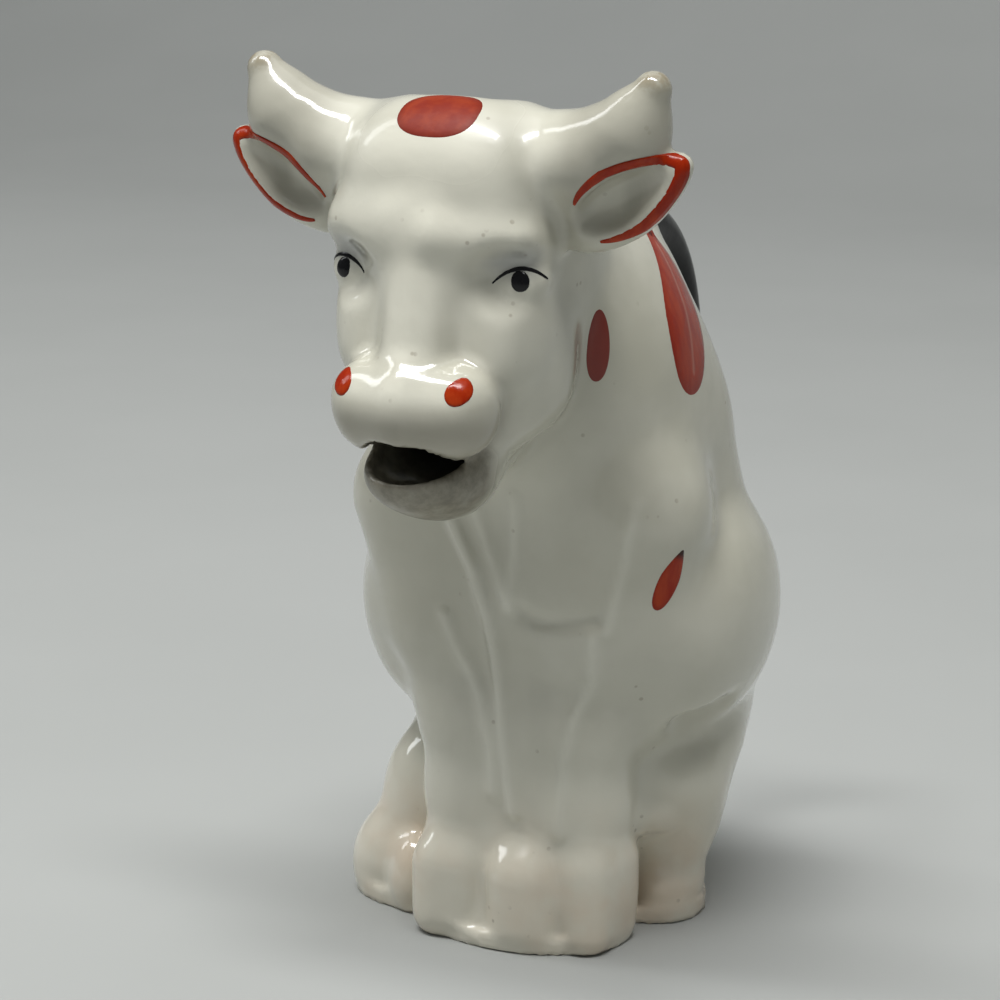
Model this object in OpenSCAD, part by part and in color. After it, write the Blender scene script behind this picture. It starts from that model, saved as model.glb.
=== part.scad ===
// Cow creamer: a seated cow in glazed earthenware, hollow, with a tail handle.
// Milk goes in behind the head, runs through the throat and pours from the mouth.
// The cow faces -Y, its left side is +X, and it stands on z = 0.
// Every form is a blend of ellipsoids and tapered limbs, given as a distance
// field: below zero is clay, above zero is air. A skin is found by walking out
// from a spine until the field reaches zero. A piece that is luted to another
// stops one seam short of that piece's field, so it follows any change there.

/* [Body] */
// Width across the haunches
body_w = 60; // [54:1:66]
// Depth from the chest to the rump
body_d = 52; // [48:1:58]
// Height of the back
body_h = 103; // [98:1:108]
// Thickness of the clay wall
wall = 3.2; // [2.6:0.2:4]
// Thickness of the plate that closes the bottom
plate_t = 2.4; // [1.8:0.2:3]
// Length of the filling mouth, front to back
filler_l = 18; // [16:1:21]
// Width of the filling mouth
filler_w = 22; // [19:1:25]

/* [Forelegs] */
// Distance between the axes of the forelegs
leg_gap = 14.2; // [13.4:0.2:15]
// Thickness of a foreleg above its hoof
leg_d = 13.6; // [12:0.4:14.4]
// Height at which the forelegs meet the chest
leg_h = 36; // [33:1:38]
// Height of a front hoof
hoof_h = 15; // [13:1:17]
// Forward reach of the hooves from the axes of the forelegs
hoof_reach = 11; // [10:0.5:12]

/* [Hind feet] */
// Distance between the axes of the hind feet
foot_gap = 44; // [42:1:46]
// Length of a hind foot
foot_l = 26; // [24:1:28]
// Height of a hind foot
foot_h = 17; // [15:1:19]

/* [Head] */
// Width of the head at the brow
head_w = 33; // [30:1:36]
// Height from the chin to the poll
head_h = 54; // [50:1:58]
// Distance from the nape to the nose
head_l = 37; // [34:1:40]
// Forward reach of the head's middle from the body's middle
head_reach = 39; // [37:1:41]
// How far the chin lies below the top of the body
chin_below = 35; // [33:1:37]
// Bore of the throat and the mouth
throat_d = 11; // [9:0.5:12]

/* [Horns and ears] */
// Distance between the tips of the horns
horn_span = 60; // [57:1:63]
// Height of a horn's tip above the poll
horn_rise = 4; // [3:0.5:7]
// Thickness of a horn at its root
horn_d = 17; // [15:1:18]
// Distance between the tips of the ears
ear_span = 65; // [63:1:67]
// Height of an ear's leaf
ear_h = 9.6; // [8.8:0.2:10.4]
// Thickness of an ear
ear_t = 6; // [5:0.5:7]

/* [Tail handle] */
// Reach of the handle behind the body's middle
tail_reach = 41; // [39:1:43]
// Thickness of the handle
tail_d = 7; // [6:0.5:8]
// Height of the handle's upper turn
tail_top = 97; // [95:1:99]
// Height of the handle's lower turn
tail_low = 34; // [32:1:37]

/* [Enamel] */
// Thickness of a painted mark
mark_t = 0.25; // [0.2:0.05:0.4]
// Width of the spot on the poll
poll_spot_w = 11; // [9:1:13]
// Length of the leaf on the left shoulder
leaf_l = 26; // [22:1:28]
// Width of the line round the ears
ear_line_w = 1.2; // [0.8:0.1:1.6]

/* [Hidden] */

// Glaze and enamel colours
glaze = [0.93, 0.91, 0.84];
black = [0.03, 0.03, 0.04];
red = [0.78, 0.16, 0.04];

// Line of slip left between two luted pieces
seam = 0.2;
// Overrun of a cut past the face that it opens
over = 6;
// Steps of halving that place a point of a skin, and the farthest that it lies
halvings = 12;
far = 64;
// Keeps a division by a vanishing length safe
hair = 0.0001;

// The body: half sizes that scale its shares, and how softly its forms blend
body_box = [body_w / 2, body_d / 2, body_h];
belly_share = [[0, 0.115, 0.35], [0.833, 0.827, 0.35]];
chest_share = [[0, -0.254, 0.602], [0.763, 0.865, 0.233]];
chest_r = body_w * 0.283;
chest_tilt = 6;
shoulder_share = [[0, -0.462, 0.816], [0.64, 0.846, 0.175]];
withers_share = [[0, -0.308, 0.903], [0.433, 0.731, 0.107]];
haunch_share = [[0.647, -0.058, 0.443], [0.343, 0.75, 0.159]];
arm_share = [[0.517, -0.673, 0.602], [0.393, -0.677, 0.447]];
arm_r = [leg_d * 0.868, leg_d * 0.662];
flank_share = [[0.54, -0.577, 0.214], [0.64, -0.519, 0.388]];
flank_r = leg_d * 0.26;
body_blend = body_w * 0.167;
withers_blend = body_w * 0.1;
haunch_blend = body_w * 0.037;
arm_blend = leg_d * 0.37;
flank_blend = leg_d * 0.3;
body_rings = 26;
body_sides = 44;

// The forelegs: an axis that leans in from the chest, and the claws as shares
leg_x = leg_gap / 2;
leg_y = -body_d * 0.335;
shin_share = [[1.66, -0.02, 3.07], [1.17, 0, 2.13], [1.07, 0.02, 1.33], [1.04, 0, 0.53]];
shin_r_share = [0.662, 0.551, 0.522, 0.53];
hoof_box = [leg_gap / 2, hoof_reach, hoof_h];
claw_share = [[1.48, -0.18, 0.47], [0.66, 0.60, 0.50]];
inner_claw_share = [[0, -0.29, 0.44], [0.79, 0.745, 0.613]];
claw_r = leg_d * 0.28;
leg_blend = leg_d * 0.3;
claw_blend = leg_d * 0.1;

// The hind feet, as shares of a foot's box. The right one splays forward and
// out, and the left one is tucked in behind the left hoof.
foot_box = [foot_gap / 2, foot_l, foot_h];
right_hock_share = [[-0.705, -0.115, 1.59], [-0.836, -0.308, 1], [-0.982, -0.415, 0.412]];
right_hock_r_share = [0.365, 0.40, 0.388];
right_toe_share = [[-1.127, -0.423, 0.20], [0.264, 0.262, 0.435]];
right_inner_toe_share = [[-0.845, -0.615, 0.247], [0.177, 0.208, 0.40]];
left_hock_share = [[0.80, -0.046, 1.53], [0.736, -0.123, 0.94], [0.682, -0.115, 0.41]];
left_hock_r_share = [0.42, 0.365, 0.33];
left_toe_share = [[0.745, -0.108, 0.224], [0.273, 0.246, 0.412]];
left_knuckle_share = [[0.582, -0.308, 1], [0.782, -0.277, 0.99]];
left_low_knuckle_share = [[0.564, -0.315, 0.706], [0.755, -0.285, 0.694]];
left_knuckle_r = foot_h * 0.14;
foot_blend = foot_h * 0.235;

// The head: half sizes that scale its shares, and the chin's place
chin_z = body_h - chin_below;
head_box = [head_w / 2, head_l / 2, head_h];
head_mid = [0, -head_reach, chin_z];
skull_share = [[0, 0.081, 0.726], [0.879, 0.692, 0.237]];
skull_r = head_w * 0.279;
skull_tilt = -6;
skull_taper = -0.03;
face_share = [[0, -0.141, 0.50], [0.806, 0.497, 0.241]];
face_r = head_w * 0.194;
face_tilt = -4;
face_taper = 0.05;
cheek_share = [[0.376, 0.459, 0.593], [0.376, 0.081, 0.296], [0.279, -0.27, 0.185]];
cheek_r_share = [0.267, 0.23, 0.152];
cheekbone_share = [[0.594, -0.195, 0.43], [0.267, 0.346, 0.133]];
bridge_share = [[0, -0.411, 0.685], [0, -0.627, 0.389]];
bridge_r = head_w * 0.182;
brow_share = [[0.267, -0.562, 0.681], [0.80, -0.389, 0.685]];
brow_r_share = [0.094, 0.079];
socket_share = [[0.776, -0.659, 0.593], [0.327, 0.249, 0.081]];
eyeball_share = [[0.697, -0.319, 0.563], [0.23, 0.184, 0.056]];
muzzle_share = [[0, -0.778, 0.27], [0.303, -0.719, 0.267]];
muzzle_r_share = [0.206, 0.188];
lip_share = [[0, -0.80, 0.239], [0.376, -0.724, 0.246]];
lip_r_share = [0.152, 0.121];
nostril_bump_share = [[0.40, -0.80, 0.307], [0.176, 0.162, 0.044]];
neck_share = [[0, 1.189, 0.296], [0, 0.486, 0.611]];
neck_r_share = [0.56, 0.44];
head_low = chin_z + head_h * 0.157;
head_blend = head_w * 0.12;
muzzle_blend = head_w * 0.06;
neck_blend = head_w * 0.24;
lip_blend = head_w * 0.045;
socket_blend = head_w * 0.055;
jaw_blend = head_w * 0.15;
eyeball_blend = head_w * 0.03;
head_rings = 30;
head_sides = 40;

// The mouth and the throat: the bore runs up and back, then level into the body
mouth_share = [[0, -0.649, 0.148], [0.406, 0.53, 0.10]];
bend_share = [0, 0.27, 0.278];
mouth_at = head_mid + times(head_box, mouth_share[0]);
bend_at = head_mid + times(head_box, bend_share);
throat_sides = 16;
jaw_share = [[0, -0.514, 0.096], [0.467, 0.508, 0.102]];
jaw_root_share = [[0, -0.27, 0.111], [0, 0.27, 0.185]];
jaw_root_r_share = [0.212, 0.242];

// The horns rise from the poll, and a web joins each to the ear below it
poll_z = chin_z + head_h * 0.976;
horn_share = [[0.545, 0.054, 0.819], [1.079, -0.032, 0.841], [1.479, -0.086, 0.919]];
horn_r_share = [0.447, 0.347, 0.271];
horn_root = head_mid + times(head_box, horn_share[0]);
horn_bend = head_mid + times(head_box, horn_share[1]);
horn_rise_from = head_mid + times(head_box, horn_share[2]);
horn_tip_r = horn_d * 0.141;
horn_top = chin_z + head_h + horn_rise;
horn_tip = [horn_span / 2 - horn_tip_r, head_mid.y - head_l * 0.049, horn_top - horn_tip_r];
web_share = [[1.115, -0.032, 0.835], [0.40, 0.15, 0.07]];
web_r = head_w * 0.073;
ear_root_share = [0.994, -0.054, 0.663];
ear_root = head_mid + times(head_box, ear_root_share);
ear_tip = [ear_span / 2 - ear_t * 0.2, ear_root.y, ear_root.z + ear_h * 1.04];
ear_blend = ear_t * 0.1;

// The tail handle: a loop between two roots that are luted to the back
tail_mid = (tail_top + tail_low) / 2;
tail_rise = (tail_top - tail_low) / 2;
tail_root = body_d * 0.154;
tail_square_share = 0.75;
tail_turn = [-53, 76];
tail_rings = 24;
tail_sides = 14;

// The filling mouth
filler_y = -body_d * 0.03;

function times(a, b) = [a.x * b.x, a.y * b.y, a.z * b.z];
function mirrored(p) = [abs(p.x), p.y, p.z];
function tipped(q, angle) =
    [q.x, q.y * cos(angle) + q.z * sin(angle), q.z * cos(angle) - q.y * sin(angle)];
function mix(a, b, s) = a + (b - a) * s;

// Distance to an ellipsoid
function ball(p, mid, r, angle = 0) =
    let (
        q = tipped(p - mid, angle),
        a = [q.x / r.x, q.y / r.y, q.z / r.z],
        b = [a.x / r.x, a.y / r.y, a.z / r.z],
        n = norm(a)
    )
    n * (n - 1) / max(norm(b), hair);

// Distance to a block with round edges, whose width grows by `taper` for each
// unit of height above its middle
function block(p, mid, half, r, tilt = 0, taper = 0) =
    let (
        q = tipped(p - mid, tilt),
        grow = 1 + taper * min(max(q.z, -half.z), half.z) / half.x,
        d = [abs(q.x) / grow, abs(q.y), abs(q.z)] - half + [r, r, r]
    )
    norm([for (v = d) max(v, 0)]) + min(max(d), 0) - r;

// Distance to a limb that tapers from one ball to another
function limb(p, a, b, ra, rb) =
    let (d = b - a, s = min(max((p - a) * d / (d * d), 0), 1))
    norm(p - a - s * d) - ra - s * (rb - ra);

// Limbs end to end through shares of a box, with radii that are shares of a size
function chain(p, at, box, share, r_share, size) =
    min([
        for (i = [0:len(share) - 2])
        limb(
            p,
            at + times(box, share[i]),
            at + times(box, share[i + 1]),
            r_share[i] * size,
            r_share[i + 1] * size
        )
    ]);

// Smooth union, and one form smoothly carved out of another
function join(a, b, blend) =
    let (h = max(blend - abs(a - b), 0) / blend)
    min(a, b) - h * h * blend / 4;
function carve(a, b, blend) = -join(-a, b, blend);

// The ellipsoid whose place and half sizes are shares of a box
function share_ball(p, at, box, share, angle = 0) =
    ball(p, at + times(box, share[0]), times(box, share[1]), angle);

function trunk(p) =
    let (
        o = [0, 0, 0],
        belly = share_ball(p, o, body_box, belly_share),
        chest = block(
            p, times(body_box, chest_share[0]), times(body_box, chest_share[1]), chest_r, chest_tilt
        ),
        shoulder = share_ball(p, o, body_box, shoulder_share),
        withers = share_ball(p, o, body_box, withers_share)
    )
    join(join(join(belly, chest, body_blend), shoulder, body_blend), withers, withers_blend);

function torso(p) =
    let (
        m = mirrored(p),
        o = [0, 0, 0],
        haunch = share_ball(m, o, body_box, haunch_share),
        arm = chain(m, o, body_box, arm_share, arm_r, 1),
        flank = chain(m, o, body_box, flank_share, [flank_r, flank_r], 1)
    )
    carve(join(join(trunk(p), haunch, haunch_blend), arm, arm_blend), flank, flank_blend);

function foreleg(p) =
    let (
        o = [0, leg_y, 0],
        shin = chain(p, o, hoof_box, shin_share, shin_r_share, leg_d),
        web = limb(p, [0, leg_y, body_h * 0.54], [0, leg_y, hoof_h / 2], leg_d * 0.63, leg_d * 0.44),
        outer = block(p, o + times(hoof_box, claw_share[0]), times(hoof_box, claw_share[1]), claw_r),
        inner = block(
            p, o + times(hoof_box, inner_claw_share[0]), times(hoof_box, inner_claw_share[1]), claw_r
        )
    )
    join(join(shin, web, leg_blend), join(outer, inner, claw_blend), claw_blend);

function right_foot(p) =
    let (
        o = [0, 0, 0],
        hock = chain(p, o, foot_box, right_hock_share, right_hock_r_share, foot_h),
        outer = share_ball(p, o, foot_box, right_toe_share),
        inner = share_ball(p, o, foot_box, right_inner_toe_share)
    )
    join(join(hock, outer, foot_blend), inner, claw_blend);

function left_foot(p) =
    let (
        o = [0, 0, 0],
        r = [left_knuckle_r, left_knuckle_r],
        hock = chain(p, o, foot_box, left_hock_share, left_hock_r_share, foot_h),
        toes = share_ball(p, o, foot_box, left_toe_share),
        knuckle = chain(p, o, foot_box, left_knuckle_share, r, 1),
        low_knuckle = chain(p, o, foot_box, left_low_knuckle_share, r, 1)
    )
    join(join(join(hock, toes, claw_blend), knuckle, claw_blend), low_knuckle, claw_blend);

function skull(p) =
    let (
        m = mirrored(p),
        cranium = block(
            p, head_mid + times(head_box, skull_share[0]), times(head_box, skull_share[1]),
            skull_r, skull_tilt, skull_taper
        ),
        face = block(
            p, head_mid + times(head_box, face_share[0]), times(head_box, face_share[1]),
            face_r, face_tilt, face_taper
        ),
        cheek = chain(m, head_mid, head_box, cheek_share, cheek_r_share, head_w),
        cheekbone = share_ball(m, head_mid, head_box, cheekbone_share),
        bridge = chain(p, head_mid, head_box, bridge_share, [bridge_r, bridge_r], 1),
        brow = chain(m, head_mid, head_box, brow_share, brow_r_share, head_w),
        socket = share_ball(m, head_mid, head_box, socket_share),
        eyeball = share_ball(m, head_mid, head_box, eyeball_share),
        muzzle = chain(m, head_mid, head_box, muzzle_share, muzzle_r_share, head_w),
        lip = chain(m, head_mid, head_box, lip_share, lip_r_share, head_w),
        bump = share_ball(m, head_mid, head_box, nostril_bump_share),
        neck = chain(p, head_mid, head_box, neck_share, neck_r_share, head_w),
        cheeks = join(cheek, cheekbone, head_blend),
        mask = join(join(join(cranium, face, head_blend), cheeks, head_blend), bridge, head_blend),
        eyes = join(carve(join(mask, brow, muzzle_blend), socket, socket_blend), eyeball, eyeball_blend),
        snout = join(join(muzzle, lip, lip_blend), bump, muzzle_blend)
    )
    join(join(eyes, snout, muzzle_blend), neck, neck_blend);

// The head ends in a flat seat above the lower jaw
function head_form(p) = max(skull(p), head_low - p.z);

function jaw(p) =
    join(
        share_ball(p, head_mid, head_box, jaw_share),
        chain(p, head_mid, head_box, jaw_root_share, jaw_root_r_share, head_w),
        jaw_blend
    );

function horn(p) =
    let (
        root = limb(p, horn_root, horn_bend, horn_d * horn_r_share[0], horn_d * horn_r_share[1]),
        bend = limb(p, horn_bend, horn_rise_from, horn_d * horn_r_share[1], horn_d * horn_r_share[2]),
        rise = limb(p, horn_rise_from, horn_tip, horn_d * horn_r_share[2], horn_tip_r),
        web = block(p, head_mid + times(head_box, web_share[0]), times(head_box, web_share[1]), web_r)
    )
    join(join(join(root, bend, muzzle_blend), rise, muzzle_blend), web, muzzle_blend);

// An ear is a leaf along its own axis, dished on the side that faces forward
function ear(p) =
    let (
        d = ear_tip - ear_root,
        long = norm(d),
        q = p - (ear_root + ear_tip) / 2,
        along = q * d / long,
        up = (q.z * d.x - q.x * d.z) / long,
        leaf = ball([along, q.y, up], [0, 0, 0], [long * 0.56, ear_t / 2, ear_h / 2]),
        dish = ball([along, q.y, up], [0, -ear_t * 0.58, 0], [long * 0.42, ear_t * 0.48, ear_h * 0.34])
    )
    carve(leaf, dish, ear_blend);

// Unit ways round a spine that stands, or that runs across the cow
function ways_flat(n) = [for (j = [0:n - 1]) [cos(360 * j / n), sin(360 * j / n), 0]];
function ways_side(n) = [for (j = [0:n - 1]) [0, cos(360 * j / n), sin(360 * j / n)]];

// Distance from a point, along a way, at which a field rises to a level
function reach(f, from, way, level = 0, near = 0, end = far, n = halvings) =
    n == 0 ? (near + end) / 2 :
    let (mid = (near + end) / 2)
    f(from + mid * way) < level
        ? reach(f, from, way, level, mid, end, n - 1)
        : reach(f, from, way, level, near, mid, n - 1);

function ring(f, mid, dirs, level = 0) =
    [for (way = dirs) mid + reach(f, mid, way, level) * way];

// Where a point that moves along a way comes within a gap of a field's skin
function land(f, from, way, gap = seam, deep = far) =
    from + reach(function (p) -f(p), from, way, -gap, 0, deep) * way;

// Where a point that heads for a root inside a form comes to that form's skin
function seat(f, from, root, gap = seam) =
    let (d = root - from) land(f, from, d / norm(d), gap, norm(d));

// The end of a luted piece: its rim on the form below, and a ring inside the rim
// that follows the same form
function foot_rings(f, rim, mid, root, gap = seam) = [
    [for (p = rim) seat(f, p, root, gap)],
    [for (p = rim) seat(f, mix(p, mid, 0.5), root, gap)]
];

// A closed skin over rings of points, fanned to a point at each end
module skin(rings, first, last) {
    n = len(rings[0]);
    m = len(rings);
    points = concat([for (r = rings) each r], [first, last]);
    sides = [
        for (i = [0:m - 2], j = [0:n - 1])
        let (
            a = i * n + j,
            b = i * n + (j + 1) % n,
            c = a + n,
            d = b + n
        )
        each [[a, c, d], [a, d, b]]
    ];
    bottom = [for (j = [0:n - 1]) [m * n, j, (j + 1) % n]];
    top = [for (j = [0:n - 1]) [m * n + 1, (m - 1) * n + (j + 1) % n, (m - 1) * n + j]];
    polyhedron(points, concat(sides, bottom, top), convexity = 8);
}

// The hollow of the open mouth, an ellipsoid in rings along the cow's length
module mouth_bowl() {
    r = times(head_box, mouth_share[1]);
    rings = [
        for (i = [1:11])
        let (a = 180 * i / 12)
        [
            for (j = [0:throat_sides - 1])
            let (t = 360 * j / throat_sides)
            mouth_at + [r.x * sin(a) * cos(t), -r.y * cos(a), -r.z * sin(a) * sin(t)]
        ]
    ];
    skin(rings, mouth_at - [0, r.y, 0], mouth_at + [0, r.y, 0]);
}

// The bore from the mouth to the inside of the body, round a bend at the nape
module throat() {
    start = mouth_at;
    finish = [0, 0, bend_at.z];
    path = [start, mix(start, bend_at, 0.8), mix(bend_at, finish, 0.12), finish];
    rings = [
        for (i = [0:3])
        let (
            along = path[min(i + 1, 3)] - path[max(i - 1, 0)],
            up = cross(along / norm(along), [1, 0, 0])
        )
        [
            for (j = [0:throat_sides - 1])
            let (t = 360 * j / throat_sides)
            path[i] + throat_d / 2 * (cos(t) * [1, 0, 0] + sin(t) * up)
        ]
    ];
    skin(rings, start, finish);
}

// Height of the torso's top over the filling mouth
crown = reach(function (p) torso(p), [0, filler_y, body_h / 2], [0, 0, 1]) + body_h / 2;

// Outline of the closing plate, which follows the feet and the rump
module base_outline() {
    offset(r = -claw_r)
        offset(r = claw_r) {
            translate([0, leg_y])
                resize([leg_gap * 2.127, hoof_reach * 1.96])
                circle(d = leg_gap, $fn = 48);
            translate([-foot_gap * 0.466, -foot_l * 0.365])
                rotate(30)
                resize([foot_gap * 0.427, foot_l * 0.754])
                circle(d = foot_l, $fn = 48);
            translate([foot_gap * 0.355, -foot_l * 0.1])
                resize([foot_gap * 0.291, foot_l * 0.508])
                circle(d = foot_l, $fn = 48);
            resize([body_w * 0.6, body_d * 0.66])
                circle(d = body_d, $fn = 48);
        }
}

module base_plate() color(glaze) linear_extrude(height = plate_t) base_outline();

// The outside of the torso, grown by `gap` where a luted piece is cut to meet it
module torso_skin(gap = 0) {
    low = [0, filler_y, plate_t - gap];
    high = [0, filler_y, crown + gap];
    skin(
        [
            for (i = [0:body_rings - 1])
            ring(
                function (p) torso(p),
                mix(low, high, sin(90 * pow(i / body_rings, 0.9))),
                ways_flat(body_sides),
                gap
            )
        ],
        low,
        high
    );
}

module body() color(glaze) {
    inner_floor = plate_t + wall;
    hollow = function (p) max(trunk(p) + wall, torso(p) + wall * 0.75);
    difference() {
        torso_skin();
        skin(
            [
                for (i = [0:12])
                ring(
                    hollow,
                    [0, filler_y, mix(inner_floor, crown - wall, sin(84 * pow(i / 12, 0.9)))],
                    ways_flat(28)
                )
            ],
            [0, filler_y, inner_floor],
            [0, filler_y, crown - wall]
        );
        throat();
        translate([0, filler_y, crown - wall * 3])
            linear_extrude(height = wall * 3 + over)
                resize([filler_w, filler_l]) circle(d = filler_w, $fn = 32);
    }
}

module head() color(glaze) {
    chin_y = head_mid.y + head_box.y * lip_share[0].y / 2;
    difference() {
        skin(
            [
                for (i = [0:head_rings])
                let (s = (1 - cos(180 * (i + 0.3) / (head_rings + 0.6))) / 2)
                ring(
                    function (p) skull(p),
                    [0, mix(chin_y, head_mid.y, min(s * 3, 1)), mix(head_low, poll_z, s)],
                    ways_flat(head_sides)
                )
            ],
            [0, chin_y, head_low],
            [0, head_mid.y, poll_z]
        );
        torso_skin(seam);
        mouth_bowl();
        throat();
    }
}

module lower_jaw() color(glaze) {
    mid = head_mid + times(head_box, jaw_share[0]);
    low = mid.z - head_box.z * jaw_share[1].z;
    brim = head_low - seam;
    rings = [
        for (i = [1:7])
        ring(function (p) jaw(p), [0, mid.y, mix(brim, low, cos(90 * i / 7))], ways_flat(28))
    ];
    difference() {
        skin(rings, [0, mid.y, low], [0, mid.y, brim]);
        torso_skin(seam);
        mouth_bowl();
        throat();
    }
}

module horn_piece() color(glaze) {
    d = (ear_tip - ear_root) / norm(ear_tip - ear_root);
    above_ear = function (p) let (q = p - ear_root) q.z * d.x - q.x * d.z - ear_h / 2 - seam;
    f = function (p) max(horn(p), seam - head_form(p), -above_ear(p));
    start = mix(horn_root, horn_bend, 0.75);
    way_up = horn_tip - horn_rise_from;
    rings = [
        for (i = [0:8])
        let (
            x = mix(start.x, horn_span / 2, sin(86 * i / 8)),
            out = (x - horn_bend.x) / (horn_rise_from.x - horn_bend.x),
            z = x < horn_rise_from.x
                ? mix(horn_bend.z, horn_rise_from.z, out)
                : horn_rise_from.z + way_up.z * min((x - horn_rise_from.x) / way_up.x, 1)
        )
        ring(f, [x, horn_tip.y, z], ways_side(18))
    ];
    g = function (q) head_form(q);
    root = [0, horn_root.y, horn_root.z + horn_d * 0.15];
    base = foot_rings(g, rings[0], start, root);
    skin(
        concat([base[1], base[0]], rings),
        seat(g, start, root),
        [horn_span / 2, horn_tip.y, horn_tip.z]
    );
}

module ear_piece() color(glaze) {
    rings = [
        for (i = [0:9])
        let (s = sin(88 * i / 9))
        ring(
            function (p) max(ear(p), seam - head_form(p)),
            mix(ear_root, ear_tip, 0.16 + s * 0.88) + [0, ear_t * 0.1, 0],
            ways_side(16)
        )
    ];
    f = function (q) head_form(q);
    root = [0, ear_root.y, ear_root.z - ear_h * 0.3];
    skin(
        concat([[for (p = rings[0]) seat(f, p, root)]], rings),
        seat(f, mix(ear_root, ear_tip, 0.16), root),
        mix(ear_root, ear_tip, 1.05)
    );
}

module foreleg_piece() color(glaze) {
    low = [leg_x, leg_y, plate_t];
    high = [leg_x, leg_y, leg_h];
    rings = [
        for (i = [0:13])
        ring(function (p) max(foreleg(p), seam / 2 - p.x), mix(low, high, i / 13), ways_flat(24))
    ];
    difference() {
        skin(rings, low, high);
        torso_skin(2 * seam);
    }
}

// A hind foot in rings from the plate to its hock, which is cut to meet the belly
module hind_foot_piece(form, low, high) {
    f = function (p) max(form(p), seam - foreleg(mirrored(p)));
    rings = [
        for (i = [0:9])
        ring(f, mix(low, high, i / 9), ways_flat(24))
    ];
    color(glaze) difference() {
        skin(rings, low, high);
        torso_skin(seam);
    }
}

module right_hind_foot()
    hind_foot_piece(
        function (p) right_foot(p),
        [-foot_gap * 0.49, -foot_l * 0.43, plate_t],
        [-foot_gap * 0.38, -foot_l * 0.20, foot_h * 1.4]
    );

module left_hind_foot()
    hind_foot_piece(
        function (p) left_foot(p),
        [foot_gap * 0.36, -foot_l * 0.12, plate_t],
        [foot_gap * 0.39, -foot_l * 0.08, foot_h * 1.4]
    );

function tail_spine(turn) = [
    0,
    tail_root + (tail_reach - tail_d / 2 - tail_root) * pow(cos(turn), tail_square_share),
    tail_mid + tail_rise * sign(turn) * pow(abs(sin(turn)), tail_square_share),
];

module tail_handle() color(black) {
    step = (tail_turn[1] - tail_turn[0]) / tail_rings;
    rings = [
        for (i = [0:tail_rings])
        let (
            turn = tail_turn[0] + step * i,
            here = tail_spine(turn),
            ahead = tail_spine(turn + step / 4) - tail_spine(turn - step / 4),
            along = ahead / norm(ahead),
            up = cross(along, [1, 0, 0])
        )
        [
            for (j = [0:tail_sides - 1])
            here + tail_d / 2 * (cos(360 * j / tail_sides) * [1, 0, 0] + sin(360 * j / tail_sides) * up)
        ]
    ];
    low = tail_spine(tail_turn[0]);
    high = tail_spine(tail_turn[1]);
    f = function (q) torso(q);
    root_low = [0, 0, low.z - tail_d];
    root_high = [0, 0, high.z - tail_d * 2];
    skin(
        concat(
            [[for (p = rings[0]) seat(f, p, root_low, 2 * seam)]],
            rings,
            [[for (p = rings[tail_rings]) seat(f, p, root_high, 2 * seam)]]
        ),
        seat(f, low, root_low, 2 * seam),
        seat(f, high, root_high, 2 * seam)
    );
}

// A thin mark of enamel that follows a skin. It is drawn on a flat sheet at
// `from`, with the directions `side` and `up`, and pressed on along `way`.
module mark(f, from, way, side, up, half_w, half_h, tint, point = 0, rows = 3, n = 16) {
    function spot(s, j) =
        let (t = -360 * j / n, w = 1 - point * max(sin(t), 0))
        from + side * half_w * s * cos(t) * w + up * half_h * s * sin(t);
    top = [
        for (i = [1:rows])
        [for (j = [0:n - 1]) land(f, spot(i / rows, j), way, seam + mark_t)]
    ];
    low = [
        for (i = [rows:-1:1])
        [for (j = [0:n - 1]) land(f, spot(i / rows, j), way, seam)]
    ];
    color(tint)
        skin(concat(top, low), land(f, from, way, seam + mark_t), land(f, from, way, seam));
}

// A line of enamel along part of an oval, pressed on in the same way
module stroke(f, from, way, side, up, half_w, half_h, start, end, width, tint, n = 14, deep = far) {
    function oval(t) = from + side * half_w * cos(t) + up * half_h * sin(t);
    function across(t) =
        let (d = side * half_h * cos(t) + up * half_w * sin(t)) d / max(norm(d), hair);
    rings = [
        for (i = [0:n])
        let (
            t = mix(start, end, i / n),
            half = width / 2 * (0.35 + 0.65 * sin(180 * i / n)),
            a = oval(t) + across(t) * half,
            b = oval(t) - across(t) * half
        )
        [
            land(f, a, way, seam + mark_t, deep), land(f, a, way, seam, deep),
            land(f, b, way, seam, deep), land(f, b, way, seam + mark_t, deep),
        ]
    ];
    color(tint)
        skin(
            rings,
            land(f, oval(start), way, seam + mark_t / 2, deep),
            land(f, oval(end), way, seam + mark_t / 2, deep)
        );
}

// The places of the marks on the head, as shares of its box
poll_spot_share = [0, -0.40, 0.975];
eye_share = [0.727, -0.43, 0.572];
nostril_share = [0.49, -0.94, 0.313];

module poll_spot() {
    half = poll_spot_w / 2;
    slant = 50;
    way = [0, cos(slant), -sin(slant)];
    mark(
        function (p) skull(p), head_mid + times(head_box, poll_spot_share) - way * head_l,
        way, [1, 0, 0], [0, sin(slant), cos(slant)], half, half * 0.76, red
    );
}

module eye() {
    f = function (p) skull(p);
    pupil_r = head_w * 0.042;
    way = [-sin(15), cos(15), 0];
    from = head_mid + times(head_box, eye_share) - way * head_l;
    side = [cos(15), sin(15), 0];
    mark(f, from, way, side, [0, 0, 1], pupil_r, pupil_r * 1.05, black, rows = 2, n = 12);
    stroke(
        f, from - [0, 0, pupil_r * 0.4], way, side, [0, 0, 1],
        pupil_r * 2.6, pupil_r * 2, 15, 165, pupil_r / 2, black
    );
}

module nostril() {
    way = [-sin(20), cos(20), 0];
    mark(
        function (p) skull(p), head_mid + times(head_box, nostril_share) - way * head_l,
        way, [cos(20), sin(20), 0], [0, 0, 1], head_w * 0.06, head_w * 0.05, red, n = 12
    );
}

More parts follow.
